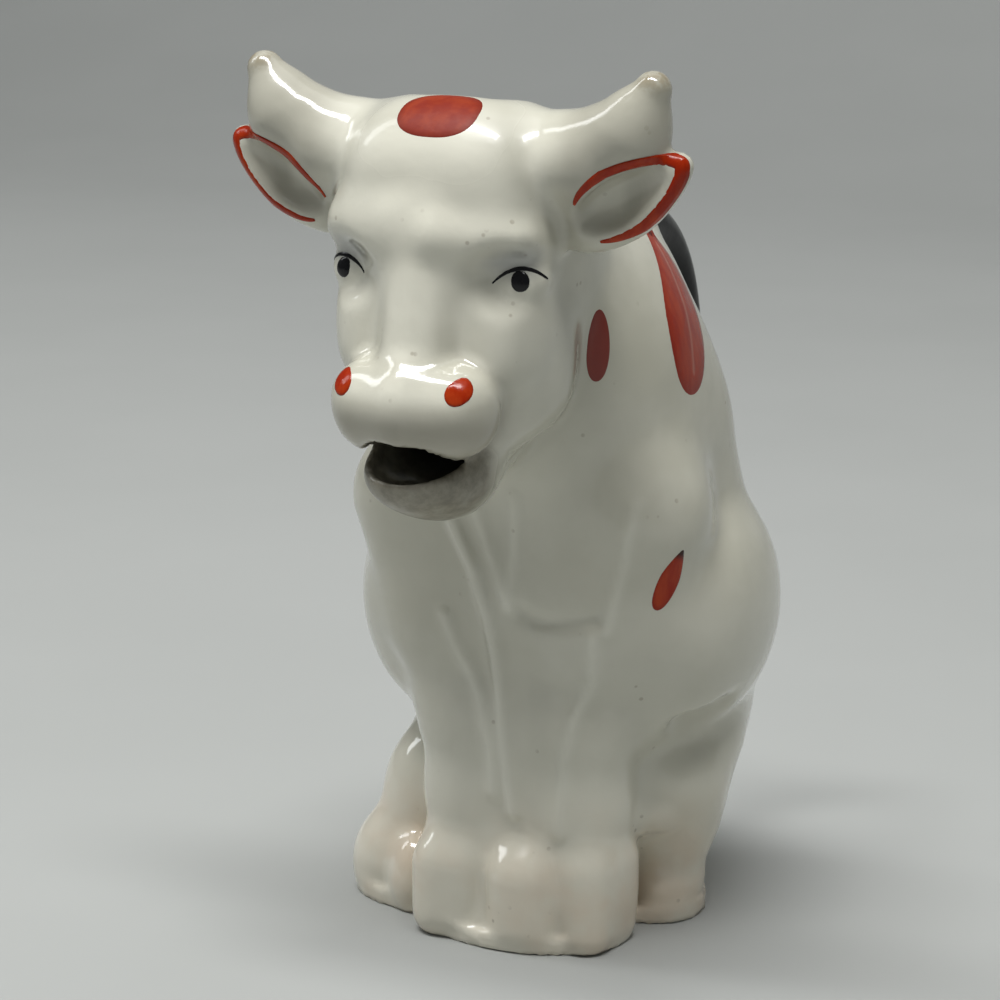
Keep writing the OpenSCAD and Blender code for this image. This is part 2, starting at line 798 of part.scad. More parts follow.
module ear_line() {
    d = (ear_tip - ear_root) / norm(ear_tip - ear_root);
    stroke(
        function (p) ear(p), mix(ear_root, ear_tip, 0.56) - [0, ear_t * 2, 0],
        [0, 1, 0], d, [-d.z, 0, d.x],
        norm(ear_tip - ear_root) * 0.36, ear_h * 0.34, -150, 150, ear_line_w, red, 20, ear_t * 2
    );
}

module neck_spot() {
    half = poll_spot_w * 0.42;
    way = [-sin(60), cos(60), 0];
    mark(
        function (p) min(torso(p), skull(p)), [head_w * 0.55, -body_d * 0.5, body_h * 0.83] - way * head_l,
        way, [cos(60), sin(60), 0], [0, 0, 1], half * 0.45, half, red, n = 12
    );
}

module shoulder_leaf() {
    lean = 20;
    from = [body_w, -body_d * 0.16, body_h * 0.86];
    mark(
        function (p) torso(p), from, [-cos(lean / 2), 0, -sin(lean / 2)],
        [0, 1, 0], [-sin(lean), 0, cos(lean)], leaf_l * 0.15, leaf_l / 2, red, 0.6, 4, 20
    );
}

module flank_spot() {
    half = poll_spot_w * 0.36;
    way = [-sin(50), cos(50), 0];
    mark(
        function (p) torso(p), [body_w * 0.36, -body_d * 0.36, body_h * 0.53] - way * head_l,
        way, [cos(50), sin(50), 0], [0.2, 0.2, 0.96], half * 0.5, half, red, 0.7, n = 14
    );
}

base_plate();
body();
head();
lower_jaw();
horn_piece();  // left_horn
mirror([1, 0, 0]) horn_piece();  // right_horn
ear_piece();  // left_ear
mirror([1, 0, 0]) ear_piece();  // right_ear
foreleg_piece();  // left_foreleg
mirror([1, 0, 0]) foreleg_piece();  // right_foreleg
left_hind_foot();
right_hind_foot();
tail_handle();
poll_spot();
eye();  // left_eye
mirror([1, 0, 0]) eye();  // right_eye
nostril();  // left_nostril
mirror([1, 0, 0]) nostril();  // right_nostril
neck_spot();
shoulder_leaf();
flank_spot();
ear_line();  // left_ear_line
mirror([1, 0, 0]) ear_line();  // right_ear_line
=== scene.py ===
"""Cow creamer: a seated cow in cream glaze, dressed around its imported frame.

The glazed casting is one skin, raised from a field of blended forms. The painted
marks are thin sheets of enamel pressed on that same skin. Sizes are millimetres
in the frame's own directions, and become metres when a mesh is made.
"""
import math

import bmesh
import bpy
import numpy as np
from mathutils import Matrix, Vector


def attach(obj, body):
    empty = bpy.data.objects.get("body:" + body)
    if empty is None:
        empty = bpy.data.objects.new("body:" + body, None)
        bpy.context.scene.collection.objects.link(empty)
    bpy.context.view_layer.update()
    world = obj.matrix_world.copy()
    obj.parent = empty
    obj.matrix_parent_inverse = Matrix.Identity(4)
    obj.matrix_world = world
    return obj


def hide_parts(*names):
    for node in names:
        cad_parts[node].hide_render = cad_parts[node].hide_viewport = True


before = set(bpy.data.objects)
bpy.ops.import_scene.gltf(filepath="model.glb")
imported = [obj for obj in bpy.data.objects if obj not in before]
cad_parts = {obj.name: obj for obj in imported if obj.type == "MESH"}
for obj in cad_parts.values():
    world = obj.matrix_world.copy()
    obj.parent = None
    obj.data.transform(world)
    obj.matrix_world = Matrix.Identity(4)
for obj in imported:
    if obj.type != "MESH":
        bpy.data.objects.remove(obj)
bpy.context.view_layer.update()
scene = bpy.context.scene

MM = 0.001


# ---------------------------------------------------------------- the camera
AZIMUTH = 25.0
ELEVATION = 14.0
DISTANCE = 0.45
FOCUS = Vector((0.0, -0.027, 0.0646))
LENS = 119.8
SENSOR = 36


def add_camera():
    data = bpy.data.cameras.new("photo_camera")
    data.lens = LENS
    data.sensor_width = SENSOR
    cam = bpy.data.objects.new("photo_camera", data)
    scene.collection.objects.link(cam)
    a, e = math.radians(AZIMUTH), math.radians(ELEVATION)
    back = Vector((math.sin(a) * math.cos(e), -math.cos(a) * math.cos(e), math.sin(e)))
    cam.location = FOCUS + back * DISTANCE
    cam.rotation_euler = (-back).to_track_quat("-Z", "Y").to_euler()
    scene.camera = cam


# ------------------------------------------------------- fields, millimetres
def cos_sin(degrees):
    return math.cos(math.radians(degrees)), math.sin(math.radians(degrees))


def placed(p, mid, tilt, turn):
    """The points as seen from `mid`, by a form turned about Z and then tilted about X."""
    q = p - np.array(mid, float)
    if turn:
        c, s = cos_sin(turn)
        q = np.stack([q[..., 0] * c + q[..., 1] * s, q[..., 1] * c - q[..., 0] * s, q[..., 2]], -1)
    if tilt:
        c, s = cos_sin(tilt)
        q = np.stack([q[..., 0], q[..., 1] * c + q[..., 2] * s, q[..., 2] * c - q[..., 1] * s], -1)
    return q


def ball(p, mid, r, tilt=0.0, turn=0.0):
    """Distance to an ellipsoid."""
    q = placed(p, mid, tilt, turn)
    r = np.array(r, float)
    near = np.sqrt(((q / r) ** 2).sum(-1))
    steep = np.sqrt(((q / (r * r)) ** 2).sum(-1)) + 1e-9
    return near * (near - 1) / steep


def block(p, mid, half, r, tilt=0.0, taper=0.0, turn=0.0):
    """Distance to a rounded block whose width grows by `taper` for each mm of height."""
    q = placed(p, mid, tilt, turn)
    if taper:
        grow = 1 + taper * np.clip(q[..., 2], -half[2], half[2]) / half[0]
        q = np.stack([q[..., 0] / grow, q[..., 1], q[..., 2]], -1)
    d = np.abs(q) - (np.array(half, float) - r)
    out = np.sqrt((np.maximum(d, 0) ** 2).sum(-1))
    return out + np.minimum(d.max(-1), 0) - r


def limb(p, a, b, ra, rb):
    """Distance to a limb that tapers from one ball to another."""
    a, b = np.array(a, float), np.array(b, float)
    d = b - a
    s = np.clip(((p - a) @ d) / (d @ d), 0, 1)
    return np.sqrt(((p - a - s[..., None] * d) ** 2).sum(-1)) - ra - s * (rb - ra)


def join(a, b, blend):
    """Both forms, with a fillet `blend` wide where they meet."""
    h = np.maximum(blend - np.abs(a - b), 0) / blend
    return np.minimum(a, b) - h * h * blend / 4


def carve(a, b, blend):
    """The first form less the second, with a fillet `blend` wide along the cut."""
    return -join(-a, b, blend)


def chain(p, points, radii, blend):
    """Limbs end to end."""
    d = None
    for i in range(len(points) - 1):
        e = limb(p, points[i], points[i + 1], radii[i], radii[i + 1])
        d = e if d is None else join(d, e, blend)
    return d


# --------------------------------------------------------- the cow, in forms
# p holds the points, and m the same points folded on to the cow's left side.
def torso(p):
    """Belly, chest, shoulders and withers."""
    d = ball(p, (0, 3, 36), (25, 21.5, 36))
    d = join(d, block(p, (1.1, -6.6, 62), (21.9, 22.5, 24), 17, tilt=6, taper=-0.02), 10)
    d = join(d, ball(p, (0.8, -12, 84), (19.4, 22, 18)), 10)
    return join(d, ball(p, (0, -8, 93), (13, 19, 11)), 6)


def neck(p):
    return limb(p, (0, -17, 84), (0, -30, 101), 18.5, 14.5)


def haunches(p):
    d = ball(p, (19.5, -1.5, 45.6), (10.3, 19.5, 16.4), turn=6)
    return np.minimum(d, ball(p, (-18.6, -1.5, 45.6), (10.3, 19.5, 16.4), turn=-6))


def foreleg(m):
    """A foreleg from its shoulder to its hoof, and the web between the two."""
    d = chain(
        m,
        # shoulder, elbow, knee, pastern, hoof
        [(15.5, -17.5, 62), (11.8, -17.6, 46), (8.3, -17.4, 32), (7.6, -17.2, 20), (7.4, -17.4, 8)],
        [10.5, 8.8, 7.5, 7.1, 7.2],
        4,
    )
    web = limb(m, (0, -17.5, 56), (0, -18.0, 8), 8.6, 6.0)
    return join(d, web, 2.5)


def hooves(p):
    """Two outer claws, and the inner pair run together under the glaze."""
    d = block(p, (-9.3, -20.2, 6.6), (6.1, 7.4, 7.8), 4.4, turn=8)
    d = join(d, limb(p, (-3.6, -20.8, 2), (-3.4, -19.0, 12), 5.9, 4.7), 1.0)
    d = join(d, block(p, (11.7, -19.4, 7.0), (3.6, 6.8, 7.8), 3.5, turn=-8), 1.6)
    return join(d, block(p, (2.6, -20.6, 6.8), (5.6, 8.2, 8.0), 4.9), 1.6)


def right_hind_foot(p):
    """The foot that splays forward and out, flaring from the hock to its toes."""
    d = chain(p, [(-15.5, -3, 27), (-18.4, -8, 17), (-21.6, -10.8, 7)], [6.2, 6.8, 6.6], 4)
    d = join(d, ball(p, (-24.8, -11.0, 3.4), (5.8, 6.8, 7.4), turn=30), 4)
    return join(d, ball(p, (-18.6, -16.0, 4.2), (3.9, 5.4, 6.8), turn=20), 1.8)


def left_hind_foot(p):
    """The foot that is tucked in behind the left hoof."""
    d = chain(p, [(17.6, -1.2, 26), (16.2, -3.2, 16), (15.0, -3.0, 7)], [7.2, 6.2, 5.6], 4)
    d = join(d, ball(p, (15.0, -3.2, 3.8), (5.4, 6.4, 7.0), turn=10), 2.0)
    # the hock and the two knuckles that show beside the foreleg
    d = join(d, ball(p, (18.4, -6.2, 22), (6.2, 6.8, 7.6)), 3)
    d = join(d, limb(p, (12.8, -11.0, 23.6), (16.9, -10.2, 23.4), 2.7, 2.4), 1.6)
    return join(d, limb(p, (12.4, -11.3, 17.8), (16.9, -10.8, 17.6), 3.1, 2.8), 1.6)


def plinth(p):
    """The thin skirt under the feet, a flat foot that follows them."""
    q = p.copy()
    q[..., 2] = 0
    toe = ball(q, (-0.1, -17.5, 0), (15.1, 10.8, 9))
    right = ball(q, (-20.5, -9.5, 0), (9.4, 9.8, 9), turn=30)
    left = ball(q, (14.6, -3.0, 0), (5.9, 6.6, 9))
    seat = ball(q, (0, 2, 0), (18, 16, 9))
    d = join(join(toe, right, 3), join(left, seat, 4), 3)
    return np.maximum(d, np.abs(p[..., 2] - 1.2) - 1.2)


def skull(p, m):
    # braincase, face and forehead
    d = block(p, (0, -37.5, 107.2), (14.5, 12.8, 12.8), 9.2, tilt=-6, taper=-0.03)
    d = join(d, block(p, (0, -41.6, 95), (13.3, 9.2, 13), 6.4, tilt=-4, taper=0.05), 3.5)
    d = join(d, ball(p, (0, -43.6, 108.6), (12, 7.2, 10.6)), 5)
    # cheekbones, and the jaw from its angle to the chin
    d = join(d, ball(m, (9.8, -42.4, 91.2), (4.4, 6.2, 7.6)), 5)
    d = join(d, limb(m, (6.2, -30.5, 100), (6.2, -37.5, 84), 8.8, 7.6), 4)
    d = join(d, limb(m, (6.2, -37.5, 84), (4.6, -44, 78), 7.2, 5.0), 4)
    # the bridge of the nose, and the left and the right brow
    d = join(d, limb(p, (0, -46.6, 105), (0, -50.15, 89.7), 6.0, 5.7), 2.6)
    d = join(d, limb(p, (2.4, -50.9, 104.4), (11.8, -47.7, 103.6), 2.5, 2.1), 2.6)
    d = join(d, limb(p, (-4.0, -48.9, 105.0), (-12.0, -45.9, 104.6), 3.0, 2.6), 4.0)
    # sockets and eyeballs
    d = carve(d, ball(m, (12.4, -51.4, 99.4), (5.6, 4.2, 4.0), turn=28), 2.4)
    return join(d, ball(m, (11.3, -45.0, 98.6), (3.7, 3.2, 2.6)), 1.4)


def muzzle(m):
    """The upper lip, rolled under at its edge, with a swelling for each nostril."""
    d = limb(m, (0, -53.4, 82.9), (5.0, -52.3, 82.4), 6.9, 6.2)
    d = join(d, limb(m, (0, -53.8, 80.9), (6.2, -52.4, 81.3), 5.0, 4.0), 1.5)
    return join(d, ball(m, (6.6, -53.5, 84.4), (2.8, 2.8, 2.2)), 3.4)


def jaw(p):
    """The lower lip: a shallow trough that pours, carried back under the throat."""
    d = ball(p, (-0.4, -48.5, 73.2), (7.7, 9.4, 5.5), tilt=-4)
    return join(d, limb(p, (0, -44, 74), (0, -34, 78), 7.0, 8.0), 5)


def mouth(p):
    """The open mouth between the upper lip and the trough of the lower one."""
    d = ball(p, (-0.4, -50.4, 76.4), (6.5, 8.8, 5.2), tilt=-4)
    d = join(d, limb(p, (0, -46, 76), (0, -34, 83), 4.6, 5.4), 2)
    return join(d, limb(p, (0, -34, 83), (0, -6, 86), 5.4, 5.5), 2)


def horn(m):
    """A horn, and the web that fills the bend between it and the ear."""
    d = chain(
        m,
        [(9, -38.0, 112.2), (17.8, -39.6, 113.4), (24.4, -40.6, 117.6), (27.4, -40.8, 123.0)],
        [7.6, 5.9, 4.6, 2.4],
        3,
    )
    web = block(m, (18.4, -39.6, 111.2), (6.6, 3.0, 5.2), 2.4)
    return join(d, web, 2.4)


EAR_ROOT = (16.4, 103.8)
EAR_TIP = (31.2, 113.8)
EAR_HALF = 0.58  # half its length, as a share of the way from root to tip
EAR_BROAD = 4.8
EAR_THICK = 3.0
EAR_TAPER = 0.22
EAR_TAPER_AT = 0.56


def ear_narrowing(along, long):
    """The share of its breadth that the ear still has on the way to its tip."""
    return 1 - EAR_TAPER * np.clip(along / (long * EAR_TAPER_AT), 0, 1)


def ear_blade(m):
    """The points as the ear has them: along it, through it and up across it."""
    root = np.array((EAR_ROOT[0], -40.0, EAR_ROOT[1]))
    tip = np.array((EAR_TIP[0], -40.3, EAR_TIP[1]))
    d = tip - root
    long = np.linalg.norm(d)
    q = m - (root + tip) / 2
    along = q @ (d / long)
    up = (q[..., 2] * d[0] - q[..., 0] * d[2]) / long / ear_narrowing(along, long)
    return np.stack([along, q[..., 1], up], -1), long


def ear(m):
    q, long = ear_blade(m)
    return ball(q, (0, 0, 0), (long * EAR_HALF, EAR_THICK, EAR_BROAD))


def ear_dish(m):
    q, long = ear_blade(m)
    return ball(q, (0.7, -3.5, 0), (long * 0.44, 2.9, 3.2))


# each fold's line (x, z) as seen from the front, and how far it stands up
FOLDS = (
    (
        ((-8.2, 67), (-6.1, 61.5), (-3.0, 54.9), (-1.4, 48.4), (-1.0, 43.1), (-0.5, 31.2),
         (0.9, 19.4)),
        1.1,
    ),
    (((-7.8, 47.6), (-6.4, 42.1), (-3.8, 35.7), (-2.4, 28.9), (-2.1, 22.0)), 0.85),
    (((14.2, 47.0), (13.6, 40.4), (10.8, 34.9), (9.1, 28.1), (8.2, 17.6)), 0.85),
    (((-3.4, 66), (-0.6, 58), (2.0, 50)), 0.7),
    (((3.6, 66), (3.2, 58), (1.8, 50)), 0.75),
    (((20.0, 66), (18.6, 58), (16.0, 48)), 0.7),
)
FOLD_SHARE = 0.75
FOLD_WIDTH = 1.1
CREST_WIDTH = 0.75
CREASE = ((2.4, 50.0), (5.6, 48.4), (9.0, 48.6), (14.0, 49.6))
CREASE_DEPTH = 0.8
CREASE_WIDTH = 1.5


def folds(p, crests=False):
    """How far the hide stands up in folds, or with `crests` where their crests run."""
    q = p.copy()
    q[..., 1] = 0

    def near(line):
        return chain(q, [(x, 0, z) for x, z in line], [0.0] * len(line), 0.01)

    rise = np.zeros(p.shape[:-1])
    width = CREST_WIDTH if crests else FOLD_WIDTH
    for line, height in FOLDS:
        rise += FOLD_SHARE * height * np.exp(-(near(line) / width) ** 2)
    if not crests:
        rise -= CREASE_DEPTH * np.exp(-(near(CREASE) / CREASE_WIDTH) ** 2)
    front = np.clip((-14.0 - p[..., 1]) / 8.0, 0, 1)
    level = np.clip((30 - np.abs(p[..., 2] - 40)) / 6, 0, 1)
    return rise * (front * level)


def folded(p):
    """The points folded on to the cow's left side."""
    m = p.copy()
    m[..., 0] = np.abs(m[..., 0])
    return m


def outer(p):
    """The whole outside of the casting, cut off flat where it stands."""
    m = folded(p)
    d = join(torso(p), neck(p), 5)
    d = join(d, haunches(p), 2.2)
    d = join(d, foreleg(m), 5)
    # flesh between elbow and haunch, and the crease under the left haunch
    d = join(d, limb(m, (15.6, -11.0, 37), (17.0, -8.0, 48), 7.6, 9.0), 5)
    d = carve(d, limb(p, (22.0, -13.4, 32.2), (26.0, -9.8, 33.4), 1.4, 1.0), 3.8)
    d = d - folds(p)
    low = join(hooves(p), join(right_hind_foot(p), left_hind_foot(p), 1.0), 1.0)
    d = join(d, low, 3.4)
    d = join(d, plinth(p), 1.0)
    h = join(skull(p, m), join(horn(m), ear(m), 1.6), 2.2)
    h = carve(h, ear_dish(m), 0.7)
    h = join(h, muzzle(m), 2.0)
    d = join(d, h, 2.4)
    d = join(d, jaw(p), 1.6)
    return np.maximum(d, -p[..., 2])


WALL = 3.2
LEAST_WALL = WALL * 0.75
FLOOR_UP = 5.0
FILLER_Y = -2.0
FILLER_HALF = (10.4, 8.4)
FILLER_MEAN = 9.3
FILLER_FROM, FILLER_TO = 88, 116
RIM_R = 1.15


def filler(p):
    """The filling mouth, an oval well through the back."""
    x, y, z = p[..., 0] / FILLER_HALF[0], (p[..., 1] - FILLER_Y) / FILLER_HALF[1], p[..., 2]
    d = np.sqrt(x ** 2 + y ** 2) * FILLER_MEAN - FILLER_MEAN
    return np.maximum(d, np.maximum(FILLER_FROM - z, z - FILLER_TO))


def cow(p):
    """The casting: hollow, open at both mouths, with a rounded rim round the upper one."""
    skin = outer(p)
    hollow = np.maximum(np.maximum(torso(p) + WALL, skin + LEAST_WALL), FLOOR_UP - p[..., 2])
    top, front = filler(p), mouth(p)
    d = carve(skin, join(hollow, np.minimum(top, front), 1.5), 1.0)
    return join(d, np.hypot(top, skin) - RIM_R, 1.2)


# ------------------------------------------------------------- raising skins
def sample(field, low, high, step):
    """The field's values on a grid of points `step` apart."""
    axes = [np.arange(a, b + step, step) for a, b in zip(low, high)]
    out = np.empty([len(a) for a in axes], np.float32)
    yy, zz = np.meshgrid(axes[1], axes[2], indexing="ij")
    for i, x in enumerate(axes[0]):
        out[i] = field(np.stack([np.full_like(yy, x), yy, zz], -1))
    return out


def surface_nets(v, low, step):
    """One point in each cell that the level crosses, and a quad at each crossed edge."""
    s = v < 0
    nx, ny, nz = v.shape
    corners = [(i, j, k) for i in (0, 1) for j in (0, 1) for k in (0, 1)]
    count = sum(
        s[i:nx - 1 + i, j:ny - 1 + j, k:nz - 1 + k].astype(np.int8) for i, j, k in corners
    )
    active = (count > 0) & (count < 8)
    index = np.full(active.shape, -1, np.int64)
    cells = np.argwhere(active)
    index[active] = np.arange(len(cells))
    total = np.zeros((len(cells), 3))
    hits = np.zeros(len(cells))
    value = {c: v[tuple((cells + c).T)] for c in corners}
    for a in corners:
        for axis in range(3):
            if a[axis]:
                continue
            b = tuple(1 if k == axis else a[k] for k in range(3))
            va, vb = value[a], value[b]
            cross = (va < 0) != (vb < 0)
            t = np.where(cross, va / np.where(cross, va - vb, 1), 0)
            point = np.array(a, float) + t[:, None] * (np.array(b, float) - np.array(a, float))
            total[cross] += point[cross]
            hits[cross] += 1
    points = (cells + total / hits[:, None]) * step + np.array(low)
    quads = []
    for axis in range(3):
        u, w = [(1, 2), (2, 0), (0, 1)][axis]
        first = [slice(0, n) for n in v.shape]
        second = [slice(0, n) for n in v.shape]
        first[axis] = slice(0, v.shape[axis] - 1)
        second[axis] = slice(1, v.shape[axis])
        edges = np.argwhere(s[tuple(first)] != s[tuple(second)])
        edges = edges[(edges[:, u] > 0) & (edges[:, w] > 0)]
        du, dw = np.zeros(3, int), np.zeros(3, int)
        du[u] = 1
        dw[w] = 1
        q = np.stack([index[tuple((edges - o).T)] for o in (du + dw, dw, 0 * du, du)], -1)
        inside = s[tuple(edges.T)]
        q[~inside] = q[~inside][:, ::-1]
        quads.append(q)
    return points, np.concatenate(quads)


SLOPE_REACH = 0.05


def slope(field, points):
    """The field's gradient, from the values a small reach to each side."""
    h = SLOPE_REACH
    return np.stack(
        [(field(points + d) - field(points - d)) / (2 * h) for d in np.eye(3) * h], -1
    )


def unit_slope(field, points):
    """The way straight out of the form at each point."""
    n = slope(field, points)
    return n / (np.linalg.norm(n, axis=1)[:, None] + 1e-9)


def settle(field, points, rounds):
    """Moves points onto the level by steps along the field's slope."""
    for _ in range(rounds):
        g = slope(field, points)
        f = field(points)
        points = points - g * np.clip(f / ((g ** 2).sum(-1) + 1e-6), -0.5, 0.5)[:, None]
    return points


def mesh_object(name, points, faces, nodes):
    """A smooth mesh that rides on the part and shows in place of the named nodes."""
    mesh = bpy.data.meshes.new(name)
    mesh.from_pydata([tuple(q) for q in np.asarray(points) * MM], [], [tuple(f) for f in faces])
    mesh.validate()
    mesh.polygons.foreach_set("use_smooth", [True] * len(mesh.polygons))
    obj = bpy.data.objects.new(name, mesh)
    scene.collection.objects.link(obj)
    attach(obj, "root")
    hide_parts(*nodes)
    return obj


# ------------------------------------------------------------------ materials
COAT_ROUGHNESS = 0.04


class Nodes:
    """Short calls for a node tree."""

    def __init__(self, name):
        self.material = bpy.data.materials.new(name)
        self.material.use_nodes = True
        self.tree = self.material.node_tree
        self.tree.nodes.clear()

    def add(self, kind):
        return self.tree.nodes.new(kind)

    def put(self, socket, value):
        if isinstance(value, bpy.types.NodeSocket):
            self.tree.links.new(value, socket)
        else:
            socket.default_value = value

    def where(self):
        return self.add("ShaderNodeTexCoord").outputs["Object"]

    def noise(self, scale, detail, rough=0.55, vector=None):
        node = self.add("ShaderNodeTexNoise")
        node.inputs["Scale"].default_value = scale
        node.inputs["Detail"].default_value = detail
        node.inputs["Roughness"].default_value = rough
        self.tree.links.new(vector or self.where(), node.inputs["Vector"])
        return node.outputs[0]

    def dots(self, scale, inner, outer_edge):
        """1 in round dots, one to a cell, and 0 between them."""
        node = self.add("ShaderNodeTexVoronoi")
        node.inputs["Scale"].default_value = scale
        self.tree.links.new(self.where(), node.inputs["Vector"])
        return self.span(node.outputs["Distance"], inner, outer_edge, 1.0, 0.0)

    def span(self, value, a, b, to_a=0.0, to_b=1.0):
        node = self.add("ShaderNodeMapRange")
        node.interpolation_type = "SMOOTHSTEP"
        keys = ("Value", "From Min", "From Max", "To Min", "To Max")
        for key, setting in zip(keys, (value, a, b, to_a, to_b)):
            self.put(node.inputs[key], setting)
        return node.outputs[0]

    def math(self, kind, a, b):
        node = self.add("ShaderNodeMath")
        node.operation = kind
        self.put(node.inputs[0], a)
        self.put(node.inputs[1], b)
        return node.outputs[0]

    def times(self, a, b):
        return self.math("MULTIPLY", a, b)

    def plus(self, a, b):
        return self.math("ADD", a, b)

    def mix(self, amount, a, b):
        node = self.add("ShaderNodeMix")
        node.data_type = "RGBA"
        self.put(node.inputs[0], amount)
        self.put(node.inputs[6], a)
        self.put(node.inputs[7], b)
        return node.outputs[2]

    def attribute(self, name):
        node = self.add("ShaderNodeAttribute")
        node.attribute_name = name
        return node.outputs["Fac"]

    def bump(self, height, distance, strength):
        node = self.add("ShaderNodeBump")
        node.inputs["Strength"].default_value = strength
        node.inputs["Distance"].default_value = distance
        self.tree.links.new(height, node.inputs["Height"])
        return node.outputs[0]

    def finish(self, colour, roughness, normal=None, coat=0.0, ior=1.5):
        shader = self.add("ShaderNodeBsdfPrincipled")
        self.put(shader.inputs["Base Color"], colour)
        self.put(shader.inputs["Roughness"], roughness)
        shader.inputs["Coat Weight"].default_value = coat
        shader.inputs["Coat Roughness"].default_value = COAT_ROUGHNESS
        shader.inputs["IOR"].default_value = ior
        if normal is not None:
            self.tree.links.new(normal, shader.inputs["Normal"])
        out = self.add("ShaderNodeOutputMaterial")
        self.tree.links.new(shader.outputs[0], out.inputs[0])
        return self.material


def tone(r, g, b):
    return (r, g, b, 1.0)


def cream_glaze():
    n = Nodes("cream_glaze")
    cream, grey = tone(0.61, 0.597, 0.505), tone(0.53, 0.517, 0.425)
    colour = n.mix(n.span(n.noise(38, 4), 0.35, 0.68), cream, grey)
    # it is darker in hollows: painted shade, with the glaze pooling thicker there
    colour = n.mix(n.times(n.attribute("pool_and_shade"), 0.75), colour, tone(0.33, 0.315, 0.235))
    # painted light on the forward-facing face, paler towards the bottom, and painted highlights
    # along the crests of the folds
    colour = n.mix(n.attribute("lit_face_and_pale_base"), colour, tone(0.83, 0.81, 0.69))
    colour = n.mix(n.times(n.attribute("crest_highlight"), 0.6), colour, tone(0.86, 0.85, 0.75))
    # the clay blushes through on the feet
    blush = n.span(n.noise(85, 3), 0.38, 0.70)
    foot = n.times(n.attribute("foot"), n.plus(n.times(blush, 0.6), 0.22))
    colour = n.mix(foot, colour, tone(0.74, 0.62, 0.48))
    # fine iron specks in patches, and a few larger ones
    fine = n.times(n.dots(430, 0.10, 0.17), n.span(n.noise(120, 2), 0.56, 0.66))
    colour = n.mix(n.times(fine, 0.42), colour, tone(0.24, 0.19, 0.13))
    large = n.times(n.dots(95, 0.045, 0.075), n.span(n.noise(60, 1), 0.62, 0.66))
    colour = n.mix(n.times(large, 0.75), colour, tone(0.10, 0.07, 0.045))
    # painted shade on each horn, and worn brown at the tips
    colour = n.mix(n.times(n.attribute("horns"), 0.75), colour, tone(0.40, 0.385, 0.315))
    worn = n.times(n.attribute("tips"), n.span(n.noise(300, 4, 0.7), 0.4, 0.6))
    colour = n.mix(worn, colour, tone(0.30, 0.26, 0.18))
    # painted shade under the muzzle, grey round the eyes, brown stain on the lower lip, painted
    # shade far inside the throat
    colour = n.mix(n.attribute("shade"), colour, tone(0.34, 0.315, 0.25))
    colour = n.mix(n.attribute("wash"), colour, tone(0.30, 0.31, 0.32))
    stain = n.times(n.attribute("stain"), n.span(n.noise(260, 4), 0.2, 0.6, 0.75, 1.0))
    brown, drab = tone(0.135, 0.118, 0.082), tone(0.235, 0.215, 0.160)
    dirt = n.mix(n.span(n.noise(420, 5, 0.7), 0.35, 0.65), brown, drab)
    colour = n.mix(stain, colour, dirt)
    colour = n.mix(n.attribute("deep"), colour, tone(0.006, 0.004, 0.003))
    # the stain is dull, and the poll is rubbed dull by hands
    rough = n.span(n.noise(55, 3), 0.3, 0.7, 0.07, 0.16)
    rough = n.plus(rough, n.times(n.attribute("stain"), 0.45))
    rough = n.plus(rough, n.times(n.attribute("soft"), 0.26))
    wave = n.plus(n.noise(150, 2), n.times(n.noise(520, 2), 0.25))
    return n.finish(colour, rough, n.bump(wave, 0.00035, 0.30), coat=0.35)


def red_enamel():
    n = Nodes("red_enamel")
    thick, thin = tone(0.31, 0.017, 0.001), tone(0.40, 0.040, 0.006)
    brush = n.add("ShaderNodeMapping")
    n.put(brush.inputs["Vector"], n.where())
    brush.inputs["Scale"].default_value = (1.0, 1.0, 0.22)
    colour = n.mix(n.span(n.noise(420, 4, 0.6, brush.outputs[0]), 0.35, 0.65), thick, thin)
    colour = n.mix(n.attribute("edge"), colour, tone(0.22, 0.012, 0.002))
    # a painted highlight down the midrib of a leaf mark
    colour = n.mix(n.attribute("rib_highlight"), colour, tone(0.60, 0.33, 0.25))
    colour = n.mix(n.attribute("dull"), colour, tone(0.20, 0.050, 0.042))
    colour = n.mix(n.attribute("dark"), colour, tone(0.035, 0.012, 0.008))
    rough = n.span(n.noise(300, 3), 0.3, 0.7, 0.10, 0.24)
    rough = n.plus(rough, n.times(n.attribute("soft"), 0.32))
    return n.finish(colour, rough, n.bump(n.noise(700, 3), 0.0002, 0.25), ior=1.32)


def black_enamel():
    n = Nodes("black_enamel")
    thick, thin = tone(0.006, 0.006, 0.007), tone(0.016, 0.015, 0.016)
    colour = n.mix(n.span(n.noise(300, 3), 0.4, 0.7), thick, thin)
    rough = n.span(n.noise(200, 2), 0.3, 0.7, 0.10, 0.22)
    return n.finish(colour, rough, n.bump(n.noise(600, 2), 0.0002, 0.2), ior=1.33)


def black_glaze():
    n = Nodes("black_glaze")
    worn = n.span(n.noise(90, 5, 0.7), 0.60, 0.74)
    colour = n.mix(worn, tone(0.005, 0.005, 0.006), tone(0.020, 0.018, 0.016))
    colour = n.mix(n.attribute("edge"), colour, tone(0.10, 0.085, 0.07))
    rough = n.span(n.noise(70, 3), 0.3, 0.7, 0.06, 0.17)
    return n.finish(colour, rough, n.bump(n.noise(160, 3), 0.0003, 0.35), ior=1.3)


def plain_floor():
    n = Nodes("floor")
    light, dark = tone(0.40, 0.41, 0.395), tone(0.385, 0.395, 0.38)
    return n.finish(n.mix(n.span(n.noise(9, 3), 0.3, 0.7), light, dark), 0.75)


# --------------------------------------------------------------------- pieces
def put_attribute(obj, name, values):
    layer = obj.data.attributes.new(name, "FLOAT", "POINT")
    layer.data.foreach_set("value", np.clip(values, 0, 1).astype(np.float32))


# the nodes that show as one casting
GLAZED = (
    "base_plate", "body", "head", "lower_jaw", "left_horn", "right_horn", "left_ear", "right_ear",
    "left_foreleg", "right_foreleg", "left_hind_foot", "right_hind_foot",
)


